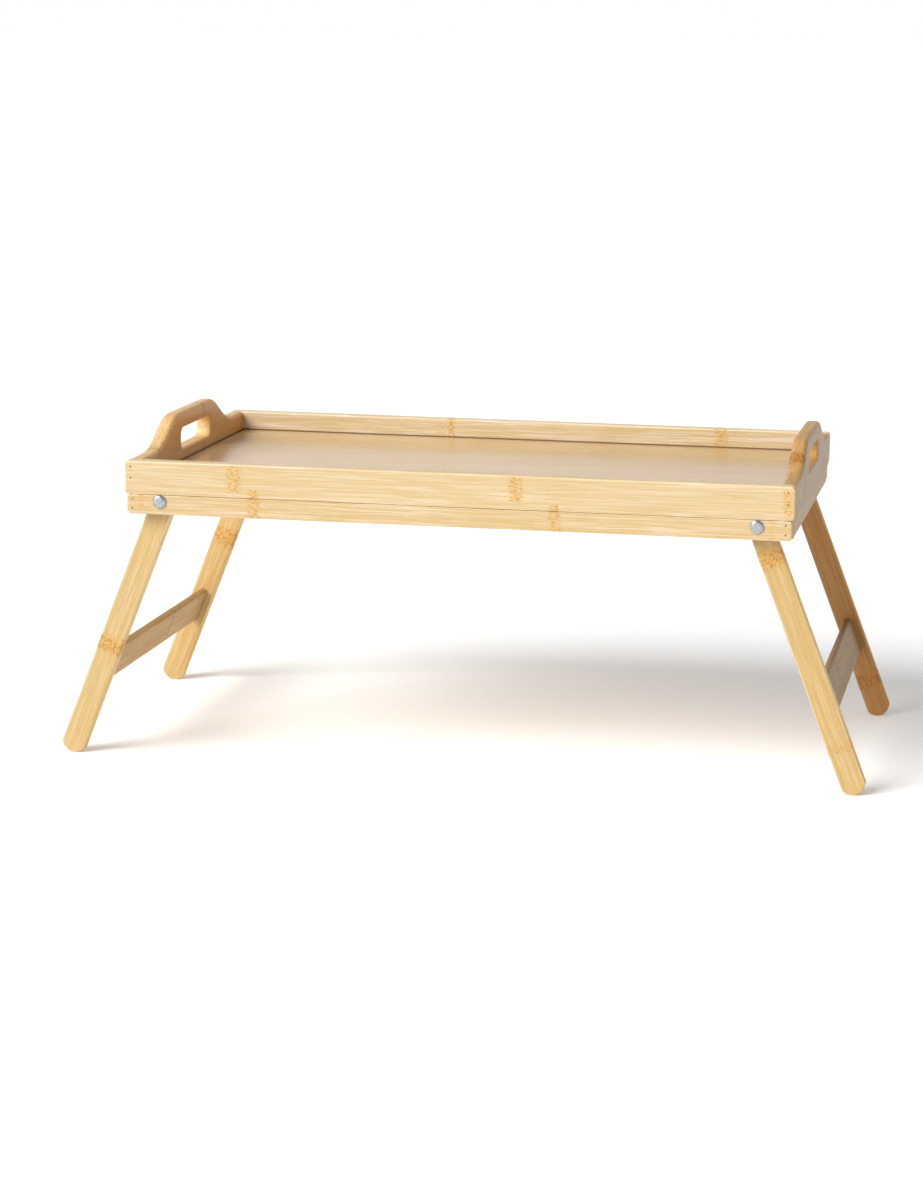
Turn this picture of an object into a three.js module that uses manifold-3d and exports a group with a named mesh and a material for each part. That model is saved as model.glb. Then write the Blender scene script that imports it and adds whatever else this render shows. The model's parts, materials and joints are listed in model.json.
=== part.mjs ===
// A bamboo serving tray that stands on two folding leg frames.
// Millimetres. +X runs along the tray, +Y from its front to its back, +Z up.
// The origin is on the floor, under the middle of the tray. The legs are folded out.
import * as THREE from 'three';
import { mergeVertices } from 'three/addons/utils/BufferGeometryUtils.js';
import Module from 'manifold-3d';

const wasm = await Module();
wasm.setup();

// ---- driving dimensions ----
const TRAY_LENGTH = 500;
const TRAY_DEPTH = 300;
const RAIL_TOP = 229;            // height of the upper rails' top edge above the floor
const GAP = 0.3;                 // clearance between pieces that touch
const EASE = 1.5;                // round-over on the bamboo edges

const UPPER_HEIGHT = 25;
const RAIL_THICK = 12;           // upper and lower long rails
const RAIL_CORNER = 3;           // outer corners, seen from the front
const SEAM_CORNER = 2;           // corners where the two frames meet

const BOARD_THICK = 12;          // handle boards
const HUMP_RISE = 22;            // top of the handle above the rails
const HUMP_FLAT = 44;            // half length of the handle's level top
const HUMP_FOOT = 114;           // half length where the curve meets the rail height
const CURVE_TOP_PULL = 22;       // handles of the S-curve
const CURVE_FOOT_PULL = 36;
const GRIP_HALF = 41;            // hand hole, half length
const GRIP_TOP = 9.5;            // above the rails' top edge
const GRIP_BOTTOM = -6.5;
const GRIP_CORNER = 6.5;
const GRIP_EASE = 1.2;

const PANEL_THICK = 4;
const PANEL_DROP = 15;           // serving surface below the rails' top edge
const PANEL_STEP = 0.6;          // the panel's edge is this much thinner, and fills the grooves
const GROOVE_DEPTH = 5;

const LOWER_HEIGHT = 15;
const LOWER_INSET = 1.5;         // the lower frame is this much shorter at each end
const END_RAIL_CORNER = 1;

const PIVOT_FROM_END = 27;
const PIVOT_BELOW_SEAM = 5;
const SPLAY = THREE.MathUtils.degToRad(21.2);
const LEG_WIDTH = 18.4;
const LEG_THICK = 10;
const FOOT_RADIUS = 10;          // rounded end that stands on the floor
const WASHER_THICK = 0.8;
const WASHER_RADIUS = 6.5;
const SLACK = 0.2;               // side play at each face of a washer

const STRETCHER_FROM_PIVOT = 142.5;
const STRETCHER_WIDTH = 28;
const STRETCHER_THICK = 6.4;
const STRETCHER_CORNER = 2;
const TENON_WIDTH = 20;
const TENON_THICK = 3.4;
const TENON_LENGTH = 5.5;

const BOLT_RADIUS = 3;
const BOLT_HEAD_RADIUS = 5;
const BOLT_HEAD_HEIGHT = 2.2;
const BOLT_HEAD_RIM = 0.9;       // height of the head's straight edge
const BOLT_CROWN_RADIUS = 3.7;   // crown inside the bevel
const BOLT_CROWN_EASE = 0.8;     // the crown's edge slopes over this width
const BOLT_CROWN_DROP = 0.2;     // and drops by this much
const BOLT_CHAMFER = 0.5;        // at the shank's end
const NUT_THICK = 5;
const NUT_ACROSS_FLATS = 10;
const BOLT_END_SHOWS = 1;

const PIN_RADIUS = 0.7;
const PIN_LENGTH = 28;
const PIN_SUNK = 0.2;
const UPPER_PINS = [-4.5, -13];  // below the rails' top edge
const LOWER_PINS = [-3.5, -10.5];   // below the seam
const UPPER_PIN_FROM_END = 4.8;
const LOWER_PIN_FROM_END = 4.6;

// ---- how finely curves are cut ----
const PIN_SIDES = 8;
const ROUND_SIDES = 20;          // bolts and their holes
const RING_SEGMENTS = 10;        // each half of a washer
const NUT_SEGMENTS = 12;
const EASE_SEGMENTS = 2;
const CORNER_SEGMENTS = 4;
const END_CORNER_SEGMENTS = 2;
const HANDLE_SEGMENTS = 10;
const LEG_SEGMENTS = 6;

// ---- levels and places worked out from them ----
const HALF_LENGTH = TRAY_LENGTH / 2;
const HALF_DEPTH = TRAY_DEPTH / 2;
const SEAM = RAIL_TOP - UPPER_HEIGHT;
const LOWER_TOP = SEAM - GAP;
const LOWER_BOTTOM = SEAM - LOWER_HEIGHT;
const LOWER_HALF = HALF_LENGTH - LOWER_INSET;
const PANEL_TOP = RAIL_TOP - PANEL_DROP;
const PANEL_BOTTOM = PANEL_TOP - PANEL_THICK;
const TONGUE_TOP = PANEL_TOP - PANEL_STEP;
const INNER_Y = HALF_DEPTH - RAIL_THICK;
const INNER_X = HALF_LENGTH - BOARD_THICK;
const PIVOT_X = HALF_LENGTH - PIVOT_FROM_END;
const PIVOT_Z = SEAM - PIVOT_BELOW_SEAM;
const SPACER_Y = INNER_Y - SLACK;
const LEG_Y = SPACER_Y - WASHER_THICK - SLACK;
const INNER_WASHER_Y = LEG_Y - LEG_THICK - SLACK;
const NUT_Y = INNER_WASHER_Y - WASHER_THICK - SLACK;
const BOLT_END_Y = NUT_Y - NUT_THICK - BOLT_END_SHOWS;
const LEG_HALF = LEG_WIDTH / 2;
const LEG_REACH = FOOT_RADIUS + (PIVOT_Z - FOOT_RADIUS) / Math.cos(SPLAY);

// The end rail's lower inner edge is the stop that a leg leans on, so its thickness
// puts that edge on the leg's outer face.
const STOP_DROP = PIVOT_Z - LOWER_BOTTOM;
const STOP_ALONG = (STOP_DROP + LEG_HALF * Math.sin(SPLAY)) / Math.cos(SPLAY);
const STOP_REACH = LEG_HALF * Math.cos(SPLAY) + STOP_ALONG * Math.sin(SPLAY);
const END_RAIL_THICK = LOWER_HALF - PIVOT_X - STOP_REACH - GAP;

// ---- finishes ----
function finish(color, roughness, metalness) {
  return new THREE.MeshStandardMaterial({ color, roughness, metalness });
}
const railBamboo = finish(0xe8c592, 0.5, 0);
const boardBamboo = finish(0xc39560, 0.5, 0);
const legBamboo = finish(0xe3b878, 0.5, 0);
const panelVeneer = finish(0xd8b48a, 0.35, 0);
const zincSteel = finish(0xc9ccd0, 0.3, 1);
const pinSteel = finish(0x6f5a45, 0.5, 1);

// ---- tools ----
const SNAP = 1e-3;               // corners are rounded to this, so that copies of a corner merge
const UPRIGHT = new THREE.Matrix4().makeBasis(
  new THREE.Vector3(1, 0, 0), new THREE.Vector3(0, 0, 1), new THREE.Vector3(0, -1, 0));
const ENDWAYS = new THREE.Matrix4().makeBasis(
  new THREE.Vector3(0, 1, 0), new THREE.Vector3(0, 0, 1), new THREE.Vector3(1, 0, 0));

function solidOf(geometry) {
  const bare = geometry.clone();
  bare.deleteAttribute('normal');
  bare.deleteAttribute('uv');
  const points = bare.attributes.position.array;
  for (let index = 0; index < points.length; index += 1) {
    points[index] = Math.round(points[index] / SNAP) * SNAP;
  }
  const merged = mergeVertices(bare);
  return new wasm.Manifold(new wasm.Mesh({
    numProp: 3,
    vertProperties: new Float32Array(merged.attributes.position.array),
    triVerts: new Uint32Array(merged.index.array),
  }));
}

function geometryOf(solid) {
  const data = solid.getMesh();
  const geometry = new THREE.BufferGeometry();
  geometry.setAttribute('position', new THREE.BufferAttribute(data.vertProperties, 3));
  geometry.setIndex(new THREE.BufferAttribute(data.triVerts, 1));
  geometry.computeVertexNormals();
  return geometry;
}

function cut(geometry, ...tools) {
  let solid = solidOf(geometry);
  for (const tool of tools) {
    solid = solid.subtract(solidOf(tool));
  }
  return geometryOf(solid);
}

function box(x0, x1, y0, y1, z0, z1) {
  const geometry = new THREE.BoxGeometry(x1 - x0, y1 - y0, z1 - z0);
  return geometry.translate((x0 + x1) / 2, (y0 + y1) / 2, (z0 + z1) / 2);
}

// A round bar along Y from y0 to y1.
function barY(radius, x, z, y0, y1, sides = ROUND_SIDES) {
  const geometry = new THREE.CylinderGeometry(radius, radius, y1 - y0, sides);
  return geometry.translate(x, (y0 + y1) / 2, z);
}

function plank(shape, thickness, ease, curveSegments) {
  return new THREE.ExtrudeGeometry(shape, {
    depth: thickness - 2 * ease,
    bevelThickness: ease,
    bevelSize: ease,
    bevelOffset: -ease,
    bevelSegments: EASE_SEGMENTS,
    curveSegments,
  }).translate(0, 0, ease);
}

// Rectangle with its own radius at the top corners and the bottom corners.
function roundedOutline(x0, x1, y0, y1, topRadius, bottomRadius) {
  const shape = new THREE.Shape();
  shape.moveTo(x0 + bottomRadius, y0);
  shape.lineTo(x1 - bottomRadius, y0);
  shape.absarc(x1 - bottomRadius, y0 + bottomRadius, bottomRadius, -Math.PI / 2, 0);
  shape.lineTo(x1, y1 - topRadius);
  shape.absarc(x1 - topRadius, y1 - topRadius, topRadius, 0, Math.PI / 2);
  shape.lineTo(x0 + topRadius, y1);
  shape.absarc(x0 + topRadius, y1 - topRadius, topRadius, Math.PI / 2, Math.PI);
  shape.lineTo(x0, y0 + bottomRadius);
  shape.absarc(x0 + bottomRadius, y0 + bottomRadius, bottomRadius, Math.PI, 1.5 * Math.PI);
  return shape;
}

const object = new THREE.Group();

function place(parent, name, geometry, material) {
  const mesh = new THREE.Mesh(geometry, material);
  mesh.name = name;
  parent.add(mesh);
  return mesh;
}

// ---- fixing pins: front is side -1, back is side +1; left end is -1, right end is +1 ----
function pinHoles(side, end, inset, halfLength, levels, base) {
  const face = side * HALF_DEPTH;
  const tip = side * (HALF_DEPTH - PIN_LENGTH - GAP);
  return levels.map((level) => barY(
    PIN_RADIUS + GAP, end * (halfLength - inset), base + level,
    Math.min(face, tip) - (side < 0 ? GAP : 0), Math.max(face, tip) + (side > 0 ? GAP : 0), PIN_SIDES));
}

function addPins(label, side, end, inset, halfLength, levels, base) {
  levels.forEach((level, index) => {
    const outer = side * (HALF_DEPTH - PIN_SUNK);
    const tip = side * (HALF_DEPTH - PIN_LENGTH);
    const pin = barY(PIN_RADIUS, end * (halfLength - inset), base + level,
      Math.min(outer, tip), Math.max(outer, tip), PIN_SIDES);
    place(object, `${label}_pin_${index + 1}`, pin, pinSteel);
  });
}

const SIDES = [['front', -1], ['back', 1]];
const ENDS = [['left', -1], ['right', 1]];

// ---- upper frame: two long rails ----
for (const [sideName, side] of SIDES) {
  const outline = roundedOutline(-HALF_LENGTH, HALF_LENGTH, SEAM, RAIL_TOP, RAIL_CORNER, SEAM_CORNER);
  const rail = plank(outline, RAIL_THICK, EASE, CORNER_SEGMENTS);
  rail.applyMatrix4(UPRIGHT);
  rail.translate(0, side < 0 ? -INNER_Y : HALF_DEPTH, 0);
  const groove = box(-INNER_X - GROOVE_DEPTH, INNER_X + GROOVE_DEPTH,
    -INNER_Y - GROOVE_DEPTH, INNER_Y + GROOVE_DEPTH, PANEL_BOTTOM - GAP, TONGUE_TOP + GAP);
  const holes = ENDS.flatMap(([, end]) => pinHoles(
    side, end, UPPER_PIN_FROM_END, HALF_LENGTH, UPPER_PINS, RAIL_TOP));
  place(object, `${sideName}_upper_rail`, cut(rail, groove, ...holes), railBamboo);
}

// ---- handle boards between the rails' ends ----
function handleOutline() {
  const half = INNER_Y - GAP;
  const shape = new THREE.Shape();
  shape.moveTo(-half, SEAM);
  shape.lineTo(half, SEAM);
  shape.lineTo(half, RAIL_TOP);
  shape.lineTo(HUMP_FOOT, RAIL_TOP);
  shape.bezierCurveTo(HUMP_FOOT - CURVE_FOOT_PULL, RAIL_TOP,
    HUMP_FLAT + CURVE_TOP_PULL, RAIL_TOP + HUMP_RISE, HUMP_FLAT, RAIL_TOP + HUMP_RISE);
  shape.lineTo(-HUMP_FLAT, RAIL_TOP + HUMP_RISE);
  shape.bezierCurveTo(-HUMP_FLAT - CURVE_TOP_PULL, RAIL_TOP + HUMP_RISE,
    CURVE_FOOT_PULL - HUMP_FOOT, RAIL_TOP, -HUMP_FOOT, RAIL_TOP);
  shape.lineTo(-half, RAIL_TOP);
  const grip = roundedOutline(-GRIP_HALF, GRIP_HALF, RAIL_TOP + GRIP_BOTTOM,
    RAIL_TOP + GRIP_TOP, GRIP_CORNER, GRIP_CORNER);
  shape.holes.push(new THREE.Path(grip.getPoints(CORNER_SEGMENTS).slice(1).reverse()));
  return shape;
}

for (const [endName, end] of ENDS) {
  const board = plank(handleOutline(), BOARD_THICK, GRIP_EASE, HANDLE_SEGMENTS);
  board.applyMatrix4(ENDWAYS);
  board.translate(end < 0 ? -HALF_LENGTH : INNER_X, 0, 0);
  const groove = box(-INNER_X - GROOVE_DEPTH, INNER_X + GROOVE_DEPTH,
    -HALF_DEPTH, HALF_DEPTH, PANEL_BOTTOM - GAP, TONGUE_TOP + GAP);
  const holes = SIDES.flatMap(([, side]) => pinHoles(
    side, end, UPPER_PIN_FROM_END, HALF_LENGTH, UPPER_PINS, RAIL_TOP));
  place(object, `${endName}_handle_board`, cut(board, groove, ...holes), boardBamboo);
}

// ---- serving panel: its thinner edge sits in the grooves, its middle fills the frame ----
const tongueX = INNER_X + GROOVE_DEPTH - GAP;
const tongueY = INNER_Y + GROOVE_DEPTH - GAP;
const tongue = box(-tongueX, tongueX, -tongueY, tongueY, PANEL_BOTTOM, TONGUE_TOP);
const middle = box(GAP - INNER_X, INNER_X - GAP, GAP - INNER_Y, INNER_Y - GAP, PANEL_BOTTOM, PANEL_TOP);
place(object, 'tray_panel', geometryOf(solidOf(tongue).add(solidOf(middle))), panelVeneer);

// ---- lower frame: long rails that carry the pivots, and end rails that stop the legs ----
for (const [sideName, side] of SIDES) {
  const outline = roundedOutline(-LOWER_HALF, LOWER_HALF, LOWER_BOTTOM, LOWER_TOP,
    SEAM_CORNER, RAIL_CORNER);
  const rail = plank(outline, RAIL_THICK, EASE, CORNER_SEGMENTS);
  rail.applyMatrix4(UPRIGHT);
  rail.translate(0, side < 0 ? -INNER_Y : HALF_DEPTH, 0);
  const holes = ENDS.flatMap(([, end]) => pinHoles(
    side, end, LOWER_PIN_FROM_END, LOWER_HALF, LOWER_PINS, SEAM));
  for (const [, end] of ENDS) {
    holes.push(barY(BOLT_RADIUS + GAP, end * PIVOT_X, PIVOT_Z,
      side * HALF_DEPTH - RAIL_THICK - GAP, side * HALF_DEPTH + RAIL_THICK + GAP));
  }
  place(object, `${sideName}_lower_rail`, cut(rail, ...holes), railBamboo);
}

for (const [endName, end] of ENDS) {
  const half = INNER_Y - GAP;
  const outline = roundedOutline(0, END_RAIL_THICK, LOWER_BOTTOM, LOWER_TOP,
    END_RAIL_CORNER, END_RAIL_CORNER);
  const rail = new THREE.ExtrudeGeometry(outline, {
    depth: 2 * half,
    bevelEnabled: false,
    curveSegments: END_CORNER_SEGMENTS,
  });
  rail.applyMatrix4(UPRIGHT);
  rail.translate(end < 0 ? -LOWER_HALF : LOWER_HALF - END_RAIL_THICK, half, 0);
  const holes = SIDES.flatMap(([, side]) => pinHoles(
    side, end, LOWER_PIN_FROM_END, LOWER_HALF, LOWER_PINS, SEAM));
  place(object, `${endName}_lower_end_rail`, cut(rail, ...holes), boardBamboo);
}

for (const [sideName, side] of SIDES) {
  for (const [endName, end] of ENDS) {
    addPins(`${sideName}_${endName}_upper`, side, end,
      UPPER_PIN_FROM_END, HALF_LENGTH, UPPER_PINS, RAIL_TOP);
    addPins(`${sideName}_${endName}_lower`, side, end,
      LOWER_PIN_FROM_END, LOWER_HALF, LOWER_PINS, SEAM);
  }
}

// ---- leg frames, built hanging straight down from the pivot, then turned by the splay ----
function legOutline() {
  const footHalfAngle = Math.asin(LEG_HALF / FOOT_RADIUS);
  const shape = new THREE.Shape();
  shape.moveTo(-LEG_HALF, 0);
  shape.absarc(0, -(LEG_REACH - FOOT_RADIUS), FOOT_RADIUS,
    -Math.PI / 2 - footHalfAngle, -Math.PI / 2 + footHalfAngle);
  shape.lineTo(LEG_HALF, 0);
  shape.absarc(0, 0, LEG_HALF, 0, Math.PI);
  return shape;
}

function mortise(side, width, thick, depth) {
  const inner = side * (LEG_Y - LEG_THICK);
  const blind = side * (LEG_Y - LEG_THICK + depth);
  const mouth = inner - side * GAP;
  return box(-thick / 2, thick / 2, Math.min(mouth, blind), Math.max(mouth, blind),
    -STRETCHER_FROM_PIVOT - width / 2, -STRETCHER_FROM_PIVOT + width / 2);
}

for (const [endName, end] of ENDS) {
  const frame = new THREE.Group();
  frame.position.set(end * PIVOT_X, 0, PIVOT_Z);
  frame.rotation.y = -end * SPLAY;
  object.add(frame);

  for (const [sideName, side] of SIDES) {
    const leg = plank(legOutline(), LEG_THICK, EASE, LEG_SEGMENTS);
    leg.applyMatrix4(UPRIGHT);
    leg.translate(0, side < 0 ? LEG_THICK - LEG_Y : LEG_Y, 0);
    const pivotHole = barY(BOLT_RADIUS + GAP, 0, 0,
      Math.min(side * HALF_DEPTH, 0), Math.max(side * HALF_DEPTH, 0));
    const socket = mortise(side, TENON_WIDTH + 2 * GAP, TENON_THICK + 2 * GAP, TENON_LENGTH + GAP);
    place(frame, `${endName}_${sideName}_leg`, cut(leg, pivotHole, socket), legBamboo);
  }

  const shoulder = LEG_Y - LEG_THICK - GAP;
  const outline = roundedOutline(-STRETCHER_THICK / 2, STRETCHER_THICK / 2,
    -STRETCHER_FROM_PIVOT - STRETCHER_WIDTH / 2, -STRETCHER_FROM_PIVOT + STRETCHER_WIDTH / 2,
    STRETCHER_CORNER, STRETCHER_CORNER);
  const bar = new THREE.ExtrudeGeometry(outline, {
    depth: 2 * shoulder,
    bevelEnabled: false,
    curveSegments: CORNER_SEGMENTS,
  });
  bar.applyMatrix4(UPRIGHT);
  bar.translate(0, shoulder, 0);
  const tenons = box(-TENON_THICK / 2, TENON_THICK / 2, -shoulder - TENON_LENGTH, shoulder + TENON_LENGTH,
    -STRETCHER_FROM_PIVOT - TENON_WIDTH / 2, -STRETCHER_FROM_PIVOT + TENON_WIDTH / 2);
  place(frame, `${endName}_stretcher`, geometryOf(solidOf(bar).add(solidOf(tenons))), legBamboo);
}

// ---- pivots: bolt from outside, spacer washer, leg, washer, nut ----
function boltGeometry() {
  const head = HALF_DEPTH + BOLT_HEAD_HEIGHT;
  const seat = HALF_DEPTH + SLACK;
  const profile = [
    new THREE.Vector2(0, BOLT_END_Y),
    new THREE.Vector2(BOLT_RADIUS - BOLT_CHAMFER, BOLT_END_Y),
    new THREE.Vector2(BOLT_RADIUS, BOLT_END_Y + BOLT_CHAMFER),
    new THREE.Vector2(BOLT_RADIUS, seat),
    new THREE.Vector2(BOLT_HEAD_RADIUS, seat),
    new THREE.Vector2(BOLT_HEAD_RADIUS, seat + BOLT_HEAD_RIM),
    new THREE.Vector2(BOLT_CROWN_RADIUS, head - BOLT_CROWN_DROP),
    new THREE.Vector2(BOLT_CROWN_RADIUS - BOLT_CROWN_EASE, head),
    new THREE.Vector2(0, head),
  ];
  return new THREE.LatheGeometry(profile, ROUND_SIDES);
}

function ringGeometry(outer, hole, thick, near) {
  const shape = new THREE.Shape();
  shape.absarc(0, 0, outer, 0, 2 * Math.PI);
  const bore = new THREE.Path();
  bore.absarc(0, 0, hole, 0, 2 * Math.PI, true);
  shape.holes.push(bore);
  const ring = new THREE.ExtrudeGeometry(shape, {
    depth: thick,
    bevelEnabled: false,
    curveSegments: RING_SEGMENTS,
  });
  ring.applyMatrix4(UPRIGHT);
  return ring.translate(0, near, 0);
}

function nutGeometry() {
  const shape = new THREE.Shape();
  const corner = NUT_ACROSS_FLATS / 2 / Math.cos(Math.PI / 6);
  for (let side = 0; side < 6; side += 1) {
    const angle = side * Math.PI / 3;
    const x = corner * Math.cos(angle);
    const y = corner * Math.sin(angle);
    if (side === 0) shape.moveTo(x, y);
    else shape.lineTo(x, y);
  }
  const bore = new THREE.Path();
  bore.absarc(0, 0, BOLT_RADIUS + GAP / 2, 0, 2 * Math.PI, true);
  shape.holes.push(bore);
  const nut = new THREE.ExtrudeGeometry(shape, {
    depth: NUT_THICK,
    bevelEnabled: false,
    curveSegments: NUT_SEGMENTS,
  });
  nut.applyMatrix4(UPRIGHT);
  return nut.translate(0, NUT_Y, 0);
}

for (const [endName, end] of ENDS) {
  for (const [sideName, side] of SIDES) {
    const pivot = new THREE.Group();
    pivot.position.set(end * PIVOT_X, 0, PIVOT_Z);
    pivot.rotation.z = side < 0 ? Math.PI : 0;
    object.add(pivot);
    const label = `${endName}_${sideName}`;
    const hole = BOLT_RADIUS + GAP;
    place(pivot, `${label}_pivot_bolt`, boltGeometry(), zincSteel);
    place(pivot, `${label}_spacer_washer`,
      ringGeometry(WASHER_RADIUS, hole, WASHER_THICK, SPACER_Y), zincSteel);
    place(pivot, `${label}_inner_washer`,
      ringGeometry(WASHER_RADIUS, hole, WASHER_THICK, INNER_WASHER_Y), zincSteel);
    place(pivot, `${label}_lock_nut`, nutGeometry(), zincSteel);
  }
}

export default object;
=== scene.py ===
"""The looks of a bamboo bed tray on two folding leg frames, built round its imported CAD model.

Metres. +X runs along the tray, +Y from its front to its back, +Z up. The floor is z = 0.
"""

import json
import math

import bmesh
import bpy
from mathutils import Matrix, Vector


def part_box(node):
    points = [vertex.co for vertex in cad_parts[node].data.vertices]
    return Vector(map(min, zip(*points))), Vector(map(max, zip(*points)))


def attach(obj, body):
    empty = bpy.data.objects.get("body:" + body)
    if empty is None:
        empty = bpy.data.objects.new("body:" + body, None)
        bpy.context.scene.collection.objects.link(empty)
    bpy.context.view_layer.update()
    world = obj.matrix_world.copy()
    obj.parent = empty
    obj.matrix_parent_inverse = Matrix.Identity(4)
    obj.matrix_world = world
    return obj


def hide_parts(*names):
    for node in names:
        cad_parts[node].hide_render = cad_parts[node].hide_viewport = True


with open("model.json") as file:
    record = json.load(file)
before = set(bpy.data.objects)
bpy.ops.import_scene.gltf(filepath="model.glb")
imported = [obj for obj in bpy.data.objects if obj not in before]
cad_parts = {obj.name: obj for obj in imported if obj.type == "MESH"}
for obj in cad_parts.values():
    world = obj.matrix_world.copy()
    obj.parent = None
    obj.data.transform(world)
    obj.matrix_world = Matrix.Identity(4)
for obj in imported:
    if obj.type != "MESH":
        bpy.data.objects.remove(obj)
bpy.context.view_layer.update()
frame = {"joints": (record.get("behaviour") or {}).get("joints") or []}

bl_info = {
    "name": "Folding Bamboo Tray",
    "version": (1, 0, 0),
    "blender": (4, 5, 0),
    "location": "View3D > Sidebar > Bamboo Tray",
    "description": "Builds a bamboo bed tray with two folding leg frames",
    "category": "Object",
}

MM = 0.001
SIDES = (("front", -1), ("back", 1))
ENDS = (("left", -1), ("right", 1))

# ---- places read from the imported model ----
JOINTS = {joint["name"]: joint for joint in frame["joints"]}
PIVOT = Vector(JOINTS["right_leg_fold"]["pos_m"])
SPLAY = math.radians(JOINTS["right_leg_fold"]["range_deg"][1] - 90)
RAIL_LOW, RAIL_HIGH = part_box("front_upper_rail")
BOARD_LOW, BOARD_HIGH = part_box("right_handle_board")
END_LOW, END_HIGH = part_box("right_lower_end_rail")
PANEL_LOW, PANEL_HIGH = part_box("tray_panel")
LEG_LOW, LEG_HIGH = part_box("right_front_leg")
BOLT_LOW, BOLT_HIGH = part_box("right_front_pivot_bolt")
SPACER_LOW, SPACER_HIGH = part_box("right_front_spacer_washer")
INNER_LOW, INNER_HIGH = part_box("right_front_inner_washer")
NUT_LOW, NUT_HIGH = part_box("right_front_lock_nut")
UPPER_PINS = [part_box(f"front_right_upper_pin_{n}") for n in (1, 2)]
LOWER_PINS = [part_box(f"front_right_lower_pin_{n}") for n in (1, 2)]

RAIL_FACE = -RAIL_LOW.y          # outer face of the long rails
RAIL_INNER = -RAIL_HIGH.y
SEAM = RAIL_LOW.z                # where the upper frame meets the lower one
RAIL_TOP = RAIL_HIGH.z
LEG_Y = -LEG_LOW.y               # outer face of the legs
LEG_THICK = LEG_HIGH.y - LEG_LOW.y

# ---- sizes that the design fixes ----
GAP = 0.3 * MM                   # clearance round tongues, tenons and bolts
PANEL_STEP = 0.6 * MM            # the panel's edge is this much thinner than its middle
PANEL_MARGIN = 0.45 * MM         # and its middle stops this far short of the rails
TONGUE_TOP = PANEL_HIGH.z - PANEL_STEP
OUTER_CORNER = 3 * MM            # corners of the long rails, seen from the front
SEAM_CORNER = 2 * MM
GRIP_TOP = 9.5 * MM              # hand hole, from the top of the rails
GRIP_BOTTOM = -6.5 * MM
GRIP_CORNER = 6.5 * MM
HUMP_TOP_PULL = 22 * MM          # curve handles of the raised grip
HUMP_FOOT_PULL = 36 * MM
FOOT_RADIUS = 10 * MM
LEG_REACH = FOOT_RADIUS + (PIVOT.z - FOOT_RADIUS) / math.cos(SPLAY)
BAR_DROP = 142.5 * MM            # from the pivot to the middle of the stretcher
BAR_WIDTH = 28 * MM
BAR_THICK = 6.4 * MM
BAR_CORNER = 2 * MM
BAR_SHOULDER = 0.6 * MM          # step all round from a stretcher to its tenon
TENON = Vector((3.4, 5.5, 20)) * MM
SHANK_RADIUS = 3 * MM
BOLT_BORE = SHANK_RADIUS + GAP
THREAD_PITCH = 0.7 * MM
THREAD_DEPTH = 0.32 * MM
THREAD_INSIDE = 0.6 * MM         # the thread starts this far inside the nut
# a bolt head, in millimetres out from its axis and down from its crown
HEAD_PROFILE = ((0, 0), (2.4, 0.01), (3.1, 0.06), (3.7, 0.2), (3.9, 0.3), (4.75, 1.0),
                (4.95, 1.2), (5, 1.4), (5, 1.85), (4.85, 2.0), (3, 2.0))
PIN_RADIUS = 0.55 * MM
PIN_BORE = PIN_RADIUS + 0.08 * MM
SHARP = math.radians(60)         # corners that turn more than this are rounded

# ---- the camera and the light ----
CAMERA_PLACE = (0.4497, -2.3517, 0.5735)
CAMERA_AXES = ((0.98570, 0.16791, 0.01429), (-0.04594, 0.18614, 0.98145),
               (0.16210, -0.96810, 0.19120))      # its right, its up and its back
CAMERA_SHIFT = -0.0831
LIGHT_FROM = Vector((-0.60, -0.66, 0.60))
LIGHT_SPREAD = math.radians(38)
HORIZON_FADE = (0.12, 0.34)      # the sky dims as it rises from the first of these heights


# ---- Sizes and colours that a user may change ----
class TrayShape(bpy.types.PropertyGroup):
    rail_ease: bpy.props.FloatProperty(
        name="Rail Edge Radius", description="Rounding of the long rails' edges",
        default=1.5 * MM, min=0.2 * MM, max=2 * MM, subtype="DISTANCE", unit="LENGTH")
    seam_ease: bpy.props.FloatProperty(
        name="Seam Edge Radius", description="Rounding where the upper and lower frames meet",
        default=0.45 * MM, min=0.1 * MM, max=1.5 * MM, subtype="DISTANCE", unit="LENGTH")
    board_ease: bpy.props.FloatProperty(
        name="Handle Edge Radius", description="Rounding along the top of the handle boards",
        default=3.7 * MM, min=0.2 * MM, max=5.5 * MM, subtype="DISTANCE", unit="LENGTH")
    grip_ease: bpy.props.FloatProperty(
        name="Hand Hole Edge Radius", description="Rounding of the hand holes' rims",
        default=1.8 * MM, min=0.2 * MM, max=3 * MM, subtype="DISTANCE", unit="LENGTH")
    hump_rise: bpy.props.FloatProperty(
        name="Handle Rise", description="Height of the handle above the rails",
        default=BOARD_HIGH.z - RAIL_TOP, min=5 * MM, max=BOARD_HIGH.z - RAIL_TOP,
        subtype="DISTANCE", unit="LENGTH")
    hump_flat: bpy.props.FloatProperty(
        name="Handle Flat", description="Half length of the handle's level top",
        default=44 * MM, min=20 * MM, max=60 * MM, subtype="DISTANCE", unit="LENGTH")
    hump_foot: bpy.props.FloatProperty(
        name="Handle Foot",
        description="Half length where the handle's curve comes down to the rail height",
        default=114 * MM, min=90 * MM, max=130 * MM, subtype="DISTANCE", unit="LENGTH")
    grip_half: bpy.props.FloatProperty(
        name="Hand Hole Half Length", description="Half length of each hand hole",
        default=41 * MM, min=20 * MM, max=42 * MM, subtype="DISTANCE", unit="LENGTH")
    leg_width: bpy.props.FloatProperty(
        name="Leg Width", description="Width of a leg across its broad face",
        default=18.4 * MM, min=12 * MM, max=18.4 * MM, subtype="DISTANCE", unit="LENGTH")
    bevel_steps: bpy.props.IntProperty(
        name="Rounding Steps", description="Steps in each rounded bamboo edge",
        default=4, min=1, max=8)


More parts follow.
